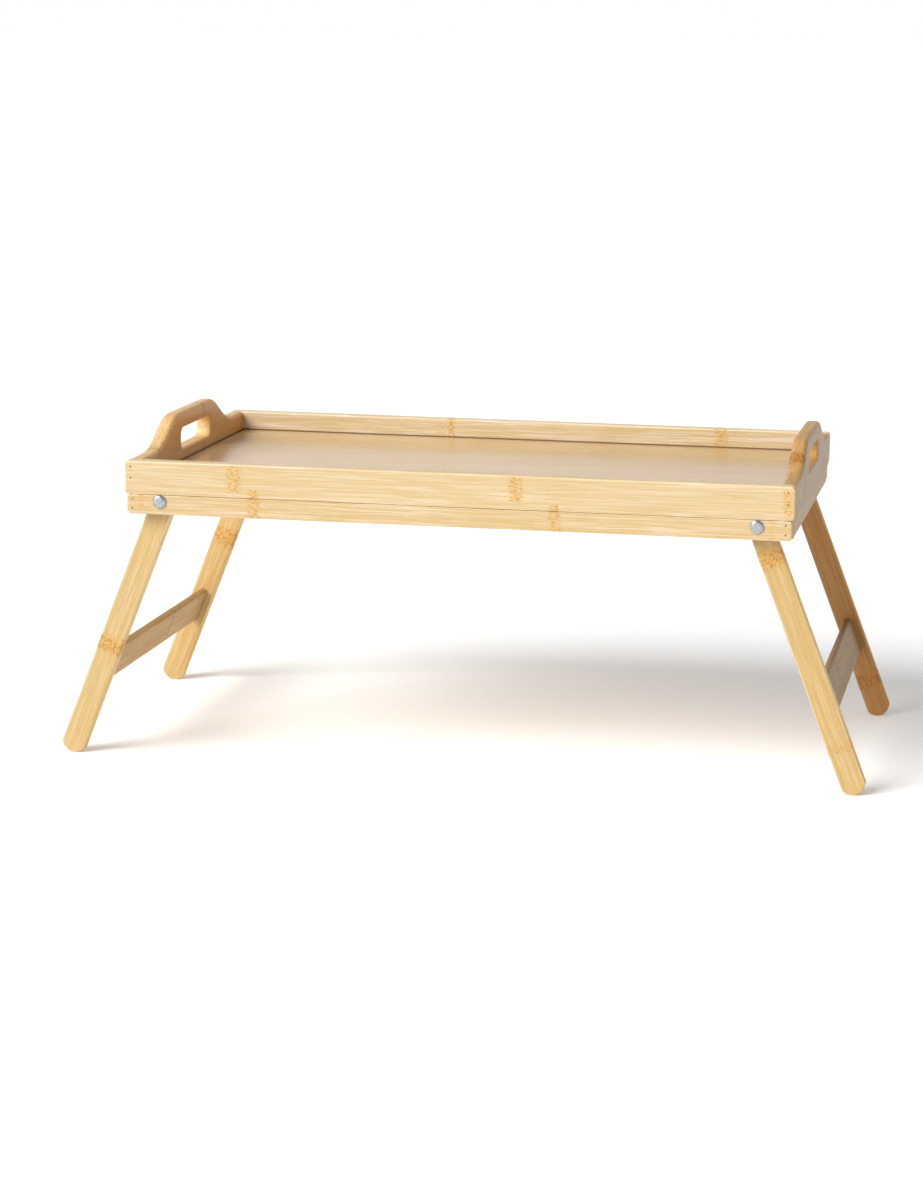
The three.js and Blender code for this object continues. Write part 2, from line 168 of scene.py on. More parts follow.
class TrayFinish(bpy.types.PropertyGroup):
    rail_light: bpy.props.FloatVectorProperty(
        name="Rail Bamboo", description="Main colour of the rails", subtype="COLOR", size=3,
        min=0, max=1, default=(0.785, 0.632, 0.445))
    leg_light: bpy.props.FloatVectorProperty(
        name="Leg Bamboo", description="Main colour of the legs", subtype="COLOR", size=3,
        min=0, max=1, default=(0.730, 0.548, 0.300))
    # Painted light: each board colour is painted shade for the broad faces, warm and saturated on
    # the left board for painted bounce light, darker and greyer on the right. Each rim colour is
    # the lighter colour for the top, slopes, ends and hand holes.
    left_board: bpy.props.FloatVectorProperty(
        name="Left Board", description="Colour of the left handle board's faces",
        subtype="COLOR", size=3, min=0, max=1, default=(0.850, 0.430, 0.120))
    left_rim: bpy.props.FloatVectorProperty(
        name="Left Board Rim", description="Colour of the left handle board's sanded edges",
        subtype="COLOR", size=3, min=0, max=1, default=(0.800, 0.540, 0.270))
    right_board: bpy.props.FloatVectorProperty(
        name="Right Board", description="Colour of the right handle board's faces",
        subtype="COLOR", size=3, min=0, max=1, default=(0.400, 0.262, 0.124))
    right_rim: bpy.props.FloatVectorProperty(
        name="Right Board Rim", description="Colour of the right handle board's sanded edges",
        subtype="COLOR", size=3, min=0, max=1, default=(0.540, 0.310, 0.115))
    end_light: bpy.props.FloatVectorProperty(
        name="End Rail Bamboo", description="Main colour of the lower end rails",
        subtype="COLOR", size=3, min=0, max=1, default=(0.740, 0.430, 0.165))
    bar_light: bpy.props.FloatVectorProperty(
        name="Stretcher Bamboo", description="Main colour of the stretchers",
        subtype="COLOR", size=3, min=0, max=1, default=(0.520, 0.335, 0.140))
    panel_light: bpy.props.FloatVectorProperty(
        name="Panel Veneer", description="Main colour of the serving panel", subtype="COLOR",
        size=3, min=0, max=1, default=(0.670, 0.450, 0.225))
    steel: bpy.props.FloatVectorProperty(
        name="Plated Steel", description="Colour of the bolts, washers and nuts",
        subtype="COLOR", size=3, min=0, max=1, default=(0.540, 0.570, 0.600))
    pin: bpy.props.FloatVectorProperty(
        name="Pin Steel", description="Colour of the fixing pins", subtype="COLOR", size=3,
        min=0, max=1, default=(0.210, 0.120, 0.055))


class StudioLight(bpy.types.PropertyGroup):
    lens: bpy.props.FloatProperty(
        name="Lens", description="Focal length of the camera", default=93.28, min=20, max=300,
        subtype="DISTANCE_CAMERA", unit="CAMERA")
    sky: bpy.props.FloatProperty(
        name="Soft Light", description="Strength of the even light from all round",
        default=0.36, min=0, max=3)
    key: bpy.props.FloatProperty(
        name="Key Light", description="Strength of the soft light from the front left",
        default=3.9, min=0, max=20)


# ---- Modelling tools ----
def leave():
    """Goes back to object mode."""
    bpy.ops.object.mode_set(mode="OBJECT")


def only(*objects):
    """Selects these objects and nothing else, and makes the first one active."""
    if bpy.context.object and bpy.context.object.mode != "OBJECT":
        leave()
    bpy.ops.object.select_all(action="DESELECT")
    for one in objects:
        one.select_set(True)
    if objects:
        bpy.context.view_layer.objects.active = objects[0]


def settle(piece):
    """Puts a piece's place into its mesh, so that its object sits at the origin."""
    only(piece)
    bpy.ops.object.transform_apply(location=True, rotation=True, scale=True)


def block(name, low, high):
    """A box from its lowest to its highest corner."""
    only()
    low, high = Vector(low), Vector(high)
    bpy.ops.mesh.primitive_cube_add(size=1, location=(low + high) / 2)
    piece = bpy.context.object
    piece.name = name
    piece.scale = high - low
    settle(piece)
    return piece


def rod(name, radius, start, end, sides):
    """A round bar between two points, along Y."""
    only()
    start, end = Vector(start), Vector(end)
    bpy.ops.mesh.primitive_cylinder_add(
        vertices=sides, radius=radius, depth=(end - start).length,
        location=(start + end) / 2, rotation=(math.pi / 2, 0, 0))
    piece = bpy.context.object
    piece.name = name
    settle(piece)
    return piece


def edit_all(piece):
    """Goes into edit mode with the whole piece selected."""
    only(piece)
    bpy.ops.object.mode_set(mode="EDIT")
    bpy.ops.mesh.select_all(action="SELECT")


def pick(piece, mode, test):
    """Goes into edit mode with the edges or faces that pass the test selected."""
    only(piece)
    bpy.ops.object.mode_set(mode="EDIT")
    bpy.ops.mesh.select_mode(type=mode)
    bpy.ops.mesh.select_all(action="DESELECT")
    mesh = bmesh.from_edit_mesh(piece.data)
    for part in (mesh.edges if mode == "EDGE" else mesh.faces):
        part.select_set(bool(test(part)))
    mesh.select_flush_mode()
    bmesh.update_edit_mesh(piece.data)


def round_edges(piece, radius, steps, test):
    """Rounds the edges that pass the test."""
    pick(piece, "EDGE", test)
    bpy.ops.mesh.bevel(offset=radius, segments=steps, profile=0.5, affect="EDGES",
                       clamp_overlap=False)
    leave()


def runs_along(edge, axis):
    """True for an edge that lies along an axis, 0 for X, 1 for Y and 2 for Z."""
    way = edge.verts[1].co - edge.verts[0].co
    return abs(way[axis]) > 0.99 * way.length


def lies_at(part, axis, *places):
    """True where every corner of an edge or face has one of these places on an axis."""
    return any(all(abs(v.co[axis] - place) < 1e-6 for v in part.verts) for place in places)


def carve(piece, *tools):
    """Takes the tools out of a piece."""
    for tool in tools:
        only(piece)
        bpy.ops.object.modifier_add(type="BOOLEAN")
        cut = piece.modifiers[-1]
        cut.operation = "DIFFERENCE"
        cut.solver = "EXACT"
        cut.object = tool
        bpy.ops.object.modifier_apply(modifier=cut.name)
        bpy.data.objects.remove(tool)


def tidy(piece, angle=35):
    """Merges doubles, turns faces outwards and gives smooth shading that keeps flats flat."""
    edit_all(piece)
    bpy.ops.mesh.remove_doubles(threshold=1e-6)
    bpy.ops.mesh.normals_make_consistent(inside=False)
    leave()
    bpy.ops.object.shade_smooth_by_angle(angle=math.radians(angle))
    bpy.ops.object.modifier_add(type="WEIGHTED_NORMAL")
    weighted = piece.modifiers[-1]
    weighted.keep_sharp = True
    weighted.weight = 100
    bpy.ops.object.modifier_apply(modifier=weighted.name)


def twin(piece, name, matrix, flip=False):
    """A copy with its own mesh, moved by a matrix."""
    only(piece)
    bpy.ops.object.duplicate(linked=False)
    copy = bpy.context.object
    copy.name = name
    copy.data.transform(matrix)
    if flip:
        copy.data.flip_normals()
    return copy


def finish(piece, material, body, slot, *nodes):
    """Gives a finished piece its material, parents it to its body and hides the CAD nodes that it
    stands for.
    """
    piece.data.name = piece.name
    piece.data.materials.clear()
    piece.data.materials.append(material)
    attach(piece, body)
    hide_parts(*nodes)


def mirrored(axis):
    """A matrix that mirrors one axis, 0 for X and 1 for Y."""
    scale = [1, 1, 1, 1]
    scale[axis] = -1
    return Matrix.Diagonal(scale)


def outline(name, thickness, ease, steps, loops):
    """A flat curve made into a board with rounded edges, standing on local X and Y.

    A loop is a list of (point, handle before, handle after). None makes a straight side.
    """
    only()
    bpy.ops.curve.primitive_bezier_circle_add(radius=1, location=(0, 0, 0))
    piece = bpy.context.object
    piece.name = name
    curve = piece.data
    curve.splines.clear()
    curve.dimensions = "2D"
    curve.fill_mode = "BOTH"
    curve.resolution_u = 10
    curve.extrude = thickness / 2 - ease
    curve.bevel_depth = ease
    curve.bevel_resolution = steps - 1
    curve.offset = -ease
    for loop in loops:
        spline = curve.splines.new("BEZIER")
        spline.bezier_points.add(len(loop) - 1)
        spline.use_cyclic_u = True
        for point, (place, before, after) in zip(spline.bezier_points, loop):
            point.handle_left_type = "FREE" if before else "VECTOR"
            point.handle_right_type = "FREE" if after else "VECTOR"
            point.co = (*place, 0)
            point.handle_left = (*(before or place), 0)
            point.handle_right = (*(after or place), 0)
    only(piece)
    bpy.ops.object.convert(target="MESH")
    return bpy.context.object


def arc_points(centre, radius, start, end, parts):
    """Bezier points of an arc. Its first point has no handle before, its last none after."""
    step = (end - start) / parts
    pull = 4 / 3 * math.tan(step / 4) * radius
    points = []
    for index in range(parts + 1):
        angle = start + step * index
        along = Vector((-math.sin(angle), math.cos(angle))) * pull
        place = Vector(centre) + Vector((math.cos(angle), math.sin(angle))) * radius
        before = tuple(place - along) if index else None
        after = tuple(place + along) if index < parts else None
        points.append((tuple(place), before, after))
    return points


# ---- Shader tools ----
class Flow:
    """A shader socket that Python's operators work on. Each adds a Math node."""

    def __init__(self, shader, socket):
        self.shader = shader
        self.socket = socket

    def math(self, operation, *values):
        return self.shader.node("ShaderNodeMath", {"operation": operation},
                                dict(enumerate((self, *values))))

    def __add__(self, other):
        return self.math("ADD", other)

    def __sub__(self, other):
        return self.math("SUBTRACT", other)

    def __rsub__(self, other):
        return self.shader.node("ShaderNodeMath", {"operation": "SUBTRACT"}, {0: other, 1: self})

    def __mul__(self, other):
        return self.math("MULTIPLY", other)

    def __truediv__(self, other):
        return self.math("DIVIDE", other)

    def __abs__(self):
        return self.math("ABSOLUTE")

    __radd__ = __add__
    __rmul__ = __mul__

    def floor(self):
        return self.math("FLOOR")

    def most(self, other):
        return self.math("MAXIMUM", other)

    def band(self, low, high, result_low=0.0, result_high=1.0):
        """Runs smoothly from one result to the other as the value goes from low to high."""
        return self.shader.node(
            "ShaderNodeMapRange", {"interpolation_type": "SMOOTHSTEP", "clamp": True},
            {"Value": self, "From Min": low, "From Max": high,
             "To Min": result_low, "To Max": result_high})


class Nodes:
    """A node tree, and the one way in which nodes are added to it."""

    def __init__(self, tree):
        self.tree = tree

    def node(self, kind, settings=None, sockets=None, out=0):
        """Any node: its settings are set first, then its sockets get values or links."""
        made = self.tree.nodes.new(kind)
        for key, value in (settings or {}).items():
            setattr(made, key, value)
        for key, value in (sockets or {}).items():
            if isinstance(value, Flow):
                self.tree.links.new(value.socket, made.inputs[key])
            else:
                made.inputs[key].default_value = value
        return Flow(self, made.outputs[out])

    def split(self, vector):
        first = self.node("ShaderNodeSeparateXYZ", sockets={0: vector})
        return [Flow(self, socket) for socket in first.socket.node.outputs]

    def join(self, x, y, z):
        return self.node("ShaderNodeCombineXYZ", sockets={0: x, 1: y, 2: z})

    def noise(self, vector, scale=1.0, detail=2.0, roughness=0.5):
        return self.node("ShaderNodeTexNoise", {"noise_dimensions": "3D"},
                         {"Vector": vector, "Scale": scale, "Detail": detail,
                          "Roughness": roughness})

    def mix(self, factor, first, second, blend="MIX"):
        """Mixes two colours, each three numbers or a socket."""
        return self.node("ShaderNodeMix", {"data_type": "RGBA", "blend_type": blend},
                         {0: factor, 6: opaque(first), 7: opaque(second)}, out=2)

    def bump(self, height, depth, strength):
        return self.node("ShaderNodeBump", sockets={"Height": height, "Distance": depth,
                                                    "Strength": strength})

    def here(self):
        """The piece's own coordinates, in metres."""
        return self.node("ShaderNodeTexCoord", out=3)

    def measured(self, shift=(0, 0, 0), spin=(0, 0, 0)):
        """The piece's own coordinates in millimetres, turned and then moved."""
        return self.node("ShaderNodeMapping", {"vector_type": "POINT"},
                         {"Vector": self.here(), "Location": shift, "Rotation": spin,
                          "Scale": (1 / MM,) * 3})


class Shader(Nodes):
    """One material's node tree, with a Principled shader at its end."""

    def __init__(self, name, constants):
        self.material = bpy.data.materials.new(name)
        self.material.use_nodes = True
        super().__init__(self.material.node_tree)
        self.tree.nodes.clear()
        self.end = self.tree.nodes.new("ShaderNodeBsdfPrincipled")
        output = self.tree.nodes.new("ShaderNodeOutputMaterial")
        self.tree.links.new(self.end.outputs["BSDF"], output.inputs["Surface"])
        for key, value in constants.items():
            self.end.inputs[key].default_value = value

    def plug(self, inputs):
        """Links what varies over the surface to the Principled shader's inputs."""
        for key, value in inputs.items():
            self.tree.links.new(value.socket, self.end.inputs[key])
        return self.material


def opaque(colour):
    """A colour as a Mix node takes it: a socket, or numbers with an alpha of 1."""
    return colour if isinstance(colour, Flow) else (*colour, 1)


def shade(colour, factor, warm=0.0):
    """A colour made lighter or darker, and warmer where warm is above 0."""
    return tuple(min(1, channel * factor * tilt)
                 for channel, tilt in zip(colour, (1 + warm * 0.4, 1, 1 - warm)))


def stain(colour, share):
    """A colour with its red, green and blue each taken down to a share of what they were."""
    return tuple(channel * part for channel, part in zip(colour, share))


# ---- Materials ----
# These turn a piece's grain onto X, so that a pattern reads along, across and through it.
GRAIN_X = Matrix(((1, 0, 0), (0, 0, 1), (0, -1, 0)))      # the long rails
GRAIN_Y = Matrix(((0, 1, 0), (0, 0, 1), (1, 0, 0)))       # the handle boards and end rails
# how strongly each kind of mark shows in the bamboo
BANDS_SHOW, LINES_SHOW, THREADS_SHOW, DASHES_SHOW, GLUE_SHOWS = 0.56, 0.74, 0.20, 0.30, 0.42


def bamboo(name, light, to_grain, origin, seed, knots, layer=6.0, contrast=1.0, gloss=1.0,
           rim=None, joint=False):
    """Flat-pressed bamboo. The pattern is measured in millimetres along, across and through.

    A knot is (place along, half width, strength, lowest and highest place across). A rim colour
    goes on all but the broad faces, which keep the base colour as painted shade, and a joint is a
    thin dark line of painted shadow where a piece meets the panel.
    """
    shader = Shader(name, {"Coat Roughness": 0.32, "Specular IOR Level": 0.42 * gloss})
    spin = to_grain.to_4x4().to_euler()
    shift = -(to_grain @ Vector(origin)) / MM
    along, across, through = shader.split(shader.measured(shift, spin))
    facing = shader.node("ShaderNodeTexCoord", out=1)
    turned = shader.node("ShaderNodeMapping", {"vector_type": "VECTOR"},
                         {"Vector": facing, "Rotation": spin})
    lean = shader.split(turned)
    end_grain = abs(lean[0]).band(0.45, 0.95) if rim is None else 0.0

    # a slow wander keeps the streaks from running dead straight
    wander = shader.noise(shader.join(along / 90 + seed, across / 30, through / 30), detail=1)
    drift = (wander - 0.5) * 3.0
    lane = across + drift
    depth = through + drift * 0.5

    layer_index = (through / layer).floor()
    tone = shader.node("ShaderNodeTexWhiteNoise", {"noise_dimensions": "1D"},
                       {"W": layer_index + seed * 3.1})
    glue = abs((through / layer - layer_index) - 0.5).band(0.465, 0.497)

    broad = shader.noise(shader.join(along / 150 + seed, lane / 9, depth / 9), detail=2)
    streak = shader.noise(shader.join(along / 110, lane / 2.6 + seed, depth / 2.6), detail=3,
                          roughness=0.65)
    line = shader.noise(shader.join(along / 60 + seed, lane / 1.1, depth / 1.1), detail=2,
                        roughness=0.6)
    fibre = shader.noise(shader.join(along / 22, lane / 0.5 + seed, depth / 0.5), detail=1)
    dash = shader.noise(shader.join(along / 6, lane / 0.45, depth / 0.45 + seed), detail=1)
    dashes = dash.band(0.62, 0.74) * broad.band(0.35, 0.6, 0.3, 1.0)
    threads = fibre.band(0.45, 0.68)
    lines = line.band(0.45, 0.60)
    bands = streak.band(0.42, 0.64)

    warm = shade(light, 0.72, 0.34)
    dark = shade(light, 0.54, 0.42)
    deep = shade(light, 0.36, 0.50)
    pale = shade(light, 1.12, -0.10)
    colour = shader.mix(broad.band(0.36, 0.64), pale, shade(light, 0.95, 0.06))
    colour = shader.mix(bands * (BANDS_SHOW * contrast), colour, warm)
    colour = shader.mix(lines * (LINES_SHOW * contrast), colour, warm)
    colour = shader.mix(threads * (THREADS_SHOW * contrast), colour, dark)
    colour = shader.mix(dashes * (DASHES_SHOW * contrast), colour, deep)
    colour = shader.mix(tone.band(0, 1, 0, 0.30), colour, shade(light, 0.90, 0.08))
    colour = shader.mix(glue * GLUE_SHOWS, colour, deep)

    # knots: a honey-coloured band across the strip, crowded with short brown flecks
    fleck = shader.noise(shader.join(along / 2.6 + seed, lane / 1.1, depth / 1.1), detail=1)
    swirl = shader.noise(shader.join(along / 4.0, lane / 3.2 + seed, depth / 3.2), detail=2)
    knot = None
    for place, half, strength, low, high in knots:
        wave = (swirl - 0.5) * (half * 1.6)
        near = abs(along - place + wave)
        body = near.band(half * 0.45, half * 1.3, strength, 0.0)
        inside = across.band(low - 1.0, low + 1.0) * across.band(high - 1.0, high + 1.0, 1.0, 0.0)
        body = body * inside
        knot = body if knot is None else knot.most(body)
    honey = stain(light, (0.76, 0.59, 0.28))
    colour = shader.mix(knot * swirl.band(0.38, 0.58, 0.55, 1.00), colour, honey)
    flecks = fleck.band(0.49, 0.57) * knot
    colour = shader.mix(flecks, colour, stain(light, (0.54, 0.36, 0.13)))
    if rim is None:
        pores = shader.node("ShaderNodeTexVoronoi", {"feature": "F1"},
                            {"Vector": shader.join(along / 30, across, through), "Scale": 0.95})
        sawn = end_grain * pores.band(0.2, 0.42, 1.0, 0.15)
        colour = shader.mix(end_grain * 0.55, colour, dark)
        colour = shader.mix(sawn * 0.4, colour, deep)
    else:
        # Painted shade: the broad faces keep the darker base colour, and the rim colour goes on
        # the top, slopes, ends and hand holes.
        ratio = tuple(edge / face for edge, face in zip(rim, light))
        slope = abs(lean[2]).band(0.55, 0.92, 1.0, 0.0)
        colour = shader.mix(slope, colour, shader.mix(1.0, colour, ratio, "MULTIPLY"))
    if joint:
        # Painted shadow: a thin dark line on the inner faces just above the panel, standing in
        # for the shade in the groove's gap.
        x, y, z = shader.split(shader.here())
        line_top = PANEL_HIGH.z + 0.7 * MM
        inside = abs(x).band(BOARD_LOW.x + 0.5 * MM, BOARD_LOW.x + MM, 1.0, 0.0) \
            * abs(y).band(RAIL_INNER + 0.5 * MM, RAIL_INNER + MM, 1.0, 0.0)
        painted_gap_shadow = inside * z.band(line_top, line_top + 0.5 * MM, 1.0, 0.0)
        colour = shader.mix(painted_gap_shadow * 0.9, colour, stain(light, (0.16, 0.09, 0.05)))

    height = threads * -0.4 + dashes * -0.5 + bands * -0.3 + lines * -0.3 + flecks * -0.6 \
        - glue * 0.6
    roughness = 0.45 + threads * 0.05 + dashes * 0.08 + end_grain * 0.2 \
        + flecks * 0.06 + (broad - 0.5) * 0.08
    coat = broad.band(0.3, 0.7, 0.06 * gloss, 0.16 * gloss) * (1 - end_grain)
    return shader.plug({"Base Color": colour, "Roughness": roughness, "Coat Weight": coat,
                        "Normal": shader.bump(height, 0.05 * MM, 0.6)})


def veneer(name, light):
    """The serving panel: satin bamboo veneer, laid in wide strips along the tray."""
    shader = Shader(name, {"Coat Roughness": 0.2, "Specular IOR Level": 0.5})
    along, across, through = shader.split(shader.measured())
    strip_width = 21.0
    lay = across / strip_width + 0.35
    wander = shader.noise(shader.join(along / 200, across / 60, through), detail=1)
    lane = across + (wander - 0.5) * 5
    strip = lay.floor()
    tone = shader.node("ShaderNodeTexWhiteNoise", {"noise_dimensions": "1D"}, {"W": strip + 7})
    glue = abs(lay - strip - 0.5).band(0.488, 0.499)
    broad = shader.noise(shader.join(along / 120, lane / 26, through), detail=2)
    streak = shader.noise(shader.join(along / 85, lane / 2.6, through), detail=3, roughness=0.6)
    fibre = shader.noise(shader.join(along / 30, lane / 0.7, through), detail=2)
    threads = fibre.band(0.52, 0.72)
    colour = shader.mix(broad.band(0.3, 0.7), shade(light, 1.06, -0.05), shade(light, 0.93, 0.06))
    colour = shader.mix(streak.band(0.48, 0.74) * 0.35, colour, shade(light, 0.74, 0.2))
    colour = shader.mix(threads * 0.20, colour, shade(light, 0.66, 0.24))
    colour = shader.mix(tone.band(0, 1, 0, 0.35), colour, shade(light, 0.90, 0.08))
    colour = shader.mix(glue * 0.18, colour, shade(light, 0.5, 0.3))
    # Painted shade: the panel grows darker towards its right end.
    colour = shader.mix(along.band(-60, 230), colour,
                        shader.mix(1.0, colour, (0.85, 0.84, 0.81), "MULTIPLY"))
    # Painted shade: a dark band round the panel's edge, where it meets the rails and boards.
    shade_band = 2.2
    edge = (abs(along) - (BOARD_LOW.x / MM - shade_band)).most(
        abs(across) - (RAIL_INNER / MM - shade_band)).band(0, 1.6)
    colour = shader.mix(edge * 0.75, colour, shade(light, 0.22, 0.5))
    height = threads * -0.4 + glue * -0.5
    return shader.plug({"Base Color": colour,
                        "Roughness": 0.26 + threads * 0.05 + (broad - 0.5) * 0.1,
                        "Coat Weight": broad.band(0.3, 0.7, 0.35, 0.5),
                        "Normal": shader.bump(height, 0.02 * MM, 0.5)})


def plated(name, tint):
    """Bright zinc plate: faint spangle, fine turning marks and a few dull patches."""
    shader = Shader(name, {"Metallic": 1.0})
    placed = shader.measured()
    spangle = shader.noise(placed, scale=0.9, detail=3, roughness=0.6)
    grit = shader.noise(placed, scale=7.0, detail=2)
    colour = shader.mix(spangle.band(0.4, 0.65), tint, shade(tint, 0.60))
    colour = shader.mix(grit.band(0.5, 0.75) * 0.3, colour, shade(tint, 0.55, 0.05))
    return shader.plug({"Base Color": colour,
                        "Roughness": 0.2 + spangle * 0.14 + grit * 0.08,
                        "Normal": shader.bump(grit + spangle * 0.7, 0.012 * MM, 0.5)})


def pin_metal(name, tint):
    """The fixing pins: dull oiled steel in a stained hole."""
    shader = Shader(name, {"Metallic": 0.8})
    grain = shader.noise(shader.here(), scale=1800, detail=2)
    colour = shader.mix(grain.band(0.4, 0.7), tint, shade(tint, 0.5))
    return shader.plug({"Base Color": colour, "Roughness": 0.4 + grain * 0.25})


def paper_floor(name):
    """A plain near-white studio floor."""
    shader = Shader(name, {"Specular IOR Level": 0.2, "Emission Strength": 0.16,
                           "Emission Color": (1, 1, 1, 1)})
    cloud = shader.noise(shader.here(), scale=1.5, detail=2)
    colour = shader.mix(cloud.band(0.3, 0.7), (0.93, 0.93, 0.925), (0.92, 0.92, 0.918))
    return shader.plug({"Base Color": colour, "Roughness": 0.7 + cloud * 0.1})


# ---- Pieces ----
def shape():
    return bpy.context.scene.tray_shape


def colours():
    return bpy.context.scene.tray_finish


def pin_bores(end, side, pins):
    """Cutters for the pin holes at one corner."""
    tools = []
    for low, high in pins:
        middle = (low + high) / 2
        outer = side * (RAIL_FACE + MM)
        inner = side * (-high.y - GAP)
        tools.append(rod("bore", PIN_BORE, (end * middle.x, outer, middle.z),
                         (end * middle.x, inner, middle.z), sides=20))
    return tools


def long_rail(name, low, high, top_corner, bottom_corner):
    """A long rail, rounded at its outer corners first and then all round both faces."""
    steps = shape().bevel_steps
    rail = block(name, low, high)
    for radius, level in ((top_corner, high.z), (bottom_corner, low.z)):
        round_edges(rail, radius, 6, lambda edge, level=level:
                    runs_along(edge, 1) and lies_at(edge, 2, level))
    seam = low.z if low.z == RAIL_LOW.z else high.z
    for ease, at_seam in ((shape().rail_ease, False), (shape().seam_ease, True)):
        round_edges(rail, ease, steps, lambda edge, at_seam=at_seam:
                    lies_at(edge, 1, low.y, high.y) and edge.calc_face_angle(0) > SHARP
                    and lies_at(edge, 2, seam) == at_seam)
    return rail


class TRAY_OT_upper_rails(bpy.types.Operator):
    """Builds the two long rails of the upper frame, grooved for the panel"""
    bl_idname = "tray.upper_rails"
    bl_label = "Upper Rails"

    def execute(self, context):
        light = tuple(colours().rail_light)
        knots = {
            "front": [(-166, 6.0, 0.7, 4, 24), (-151, 4.0, 0.95, -1, 6), (46, 5.4, 0.75, 6, 24),
                      (47, 2.2, 1.0, 6, 10), (75, 3.4, 1.0, -1, 5), (245, 3.4, 0.85, 3, 22)],
            "back": [(-61, 3.2, 0.85, -1, 25), (-70, 5.5, 0.4, 4, 21), (162, 5.6, 0.75, 4, 25)],
        }
        for side_name, side in SIDES:
            low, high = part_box(f"{side_name}_upper_rail")
            rail = long_rail(f"rail.upper.{side_name}", low, high, OUTER_CORNER, SEAM_CORNER)
            carve(rail, block(
                "groove", (-PANEL_HIGH.x - GAP, -PANEL_HIGH.y - GAP, PANEL_LOW.z - GAP),
                (PANEL_HIGH.x + GAP, PANEL_HIGH.y + GAP, TONGUE_TOP + GAP)))
            for _, end in ENDS:
                carve(rail, *pin_bores(end, side, UPPER_PINS))
            tidy(rail)
            # Painted light: the back rail is a lighter, cooler copy of the rail colour, as its
            # inner face is lit.
            tone = light if side < 0 else shade(light, 1.12, -0.12)
            finish(rail, bamboo(f"Bamboo {side_name} upper rail", tone, GRAIN_X,
                                (0, side * RAIL_FACE, SEAM), 2.0 + side, knots[side_name],
                                contrast=1.4, joint=True),
                   "tray", "rail_bamboo", f"{side_name}_upper_rail")
        return {"FINISHED"}


class TRAY_OT_lower_rails(bpy.types.Operator):
    """Builds the two long rails of the lower frame, bored for the pivots"""
    bl_idname = "tray.lower_rails"
    bl_label = "Lower Rails"

    def execute(self, context):
        light = tuple(colours().rail_light)
        knots = {
            "front": [(-151, 5.0, 0.7, -1, 16), (75, 4.6, 0.7, -1, 16), (-237, 2.4, 0.4, 4, 16),
                      (234, 2.6, 0.35, -1, 16)],
            "back": [(-30, 3.0, 0.9, -1, 16), (188, 3.0, 0.8, -1, 16)],
        }
        for side_name, side in SIDES:
            low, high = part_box(f"{side_name}_lower_rail")
            rail = long_rail(f"rail.lower.{side_name}", low, high, SEAM_CORNER, OUTER_CORNER)
            for _, end in ENDS:
                carve(rail, *pin_bores(end, side, LOWER_PINS))
                carve(rail, rod("bore", BOLT_BORE, (end * PIVOT.x, low.y - MM, PIVOT.z),
                                (end * PIVOT.x, high.y + MM, PIVOT.z), sides=40))
            tidy(rail)
            finish(rail, bamboo(f"Bamboo {side_name} lower rail", shade(light, 0.97, 0.03),
                                GRAIN_X, (0, side * RAIL_FACE, low.z), 6.0 + side,
                                knots[side_name], contrast=1.4),
                   "tray", "rail_bamboo", f"{side_name}_lower_rail")
        return {"FINISHED"}


def handle_loops():
    """The handle board's outline and its hand hole, along the board and up from the seam."""
    half = BOARD_HIGH.y
    top = RAIL_TOP - SEAM
    crest = top + shape().hump_rise
    flat, foot = shape().hump_flat, shape().hump_foot
    edge = [
        ((-half, 0), None, None),
        ((half, 0), None, None),
        ((half, top), None, None),
        ((foot, top), None, (foot - HUMP_FOOT_PULL, top)),
        ((flat, crest), (flat + HUMP_TOP_PULL, crest), None),
        ((-flat, crest), None, (-flat - HUMP_TOP_PULL, crest)),
        ((-foot, top), (HUMP_FOOT_PULL - foot, top), None),
        ((-half, top), None, None),
    ]
    grip, corner = shape().grip_half, GRIP_CORNER
    low, high = top + GRIP_BOTTOM, top + GRIP_TOP
    quarter = math.pi / 2
    hole = []
    corners = ((1, high - corner, 0), (-1, high - corner, 1), (-1, low + corner, 2),
               (1, low + corner, 3))
    for end, level, turn in corners:
        hole += arc_points((end * (grip - corner), level), corner, turn * quarter,
                           (turn + 1) * quarter, 1)
    return edge, hole


